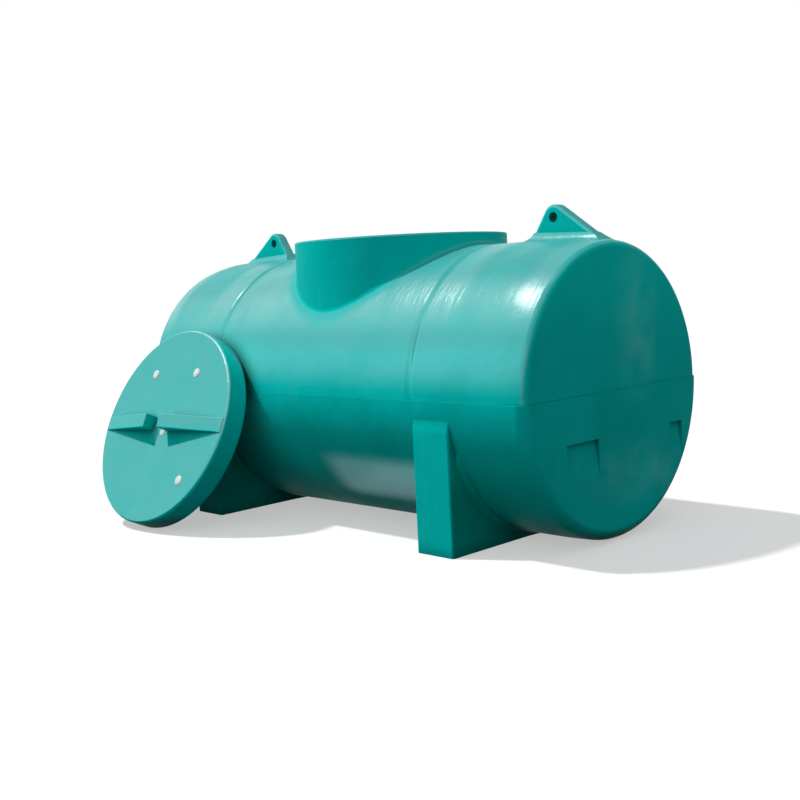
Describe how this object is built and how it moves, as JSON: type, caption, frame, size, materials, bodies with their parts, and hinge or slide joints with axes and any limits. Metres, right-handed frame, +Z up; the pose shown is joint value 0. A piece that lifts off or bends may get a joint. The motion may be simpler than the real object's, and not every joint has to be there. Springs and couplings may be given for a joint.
{
  "type": "horizontal water tank",
  "caption": "Horizontal moulded plastic water tank on two saddles, with a wide manhole neck, lifting lugs, sunk outlet pads and its lift-off lid leaning in front.",
  "frame": {"origin": "on the floor, at the middle of the footprint of the tank with its leaning lid", "axes": "+X along the barrel towards the end nearest the viewer, +Y to the back, +Z up"},
  "size_m": [2, 1.3664, 1.115],
  "materials": {
    "tank_plastic": "satin moulded polyethylene",
    "bolt_plastic": "smooth white caps"
  },
  "bodies": {
    "root": {"left_end_lower": "tank_plastic", "left_end_upper": "tank_plastic", "left_lug": "tank_plastic", "left_saddle_back": "tank_plastic", "left_saddle_front": "tank_plastic", "lid_back_skin": "tank_plastic", "lid_bar_left": "tank_plastic", "lid_bar_right": "tank_plastic", "lid_front_skin": "tank_plastic", "lower_shell_left_back": "tank_plastic", "lower_shell_left_front": "tank_plastic", "lower_shell_middle_back": "tank_plastic", "lower_shell_middle_front": "tank_plastic", "lower_shell_right_back": "tank_plastic", "lower_shell_right_front": "tank_plastic", "neck_back": "tank_plastic", "neck_front": "tank_plastic", "neck_rim": "tank_plastic", "right_end_lower": "tank_plastic", "right_end_upper": "tank_plastic", "right_lug": "tank_plastic", "right_saddle_back": "tank_plastic", "right_saddle_front": "tank_plastic", "upper_shell_left_back": "tank_plastic", "upper_shell_left_front": "tank_plastic", "upper_shell_middle_back": "tank_plastic", "upper_shell_middle_front": "tank_plastic", "upper_shell_right_back": "tank_plastic", "upper_shell_right_front": "tank_plastic"}
  },
  "joints": []
}
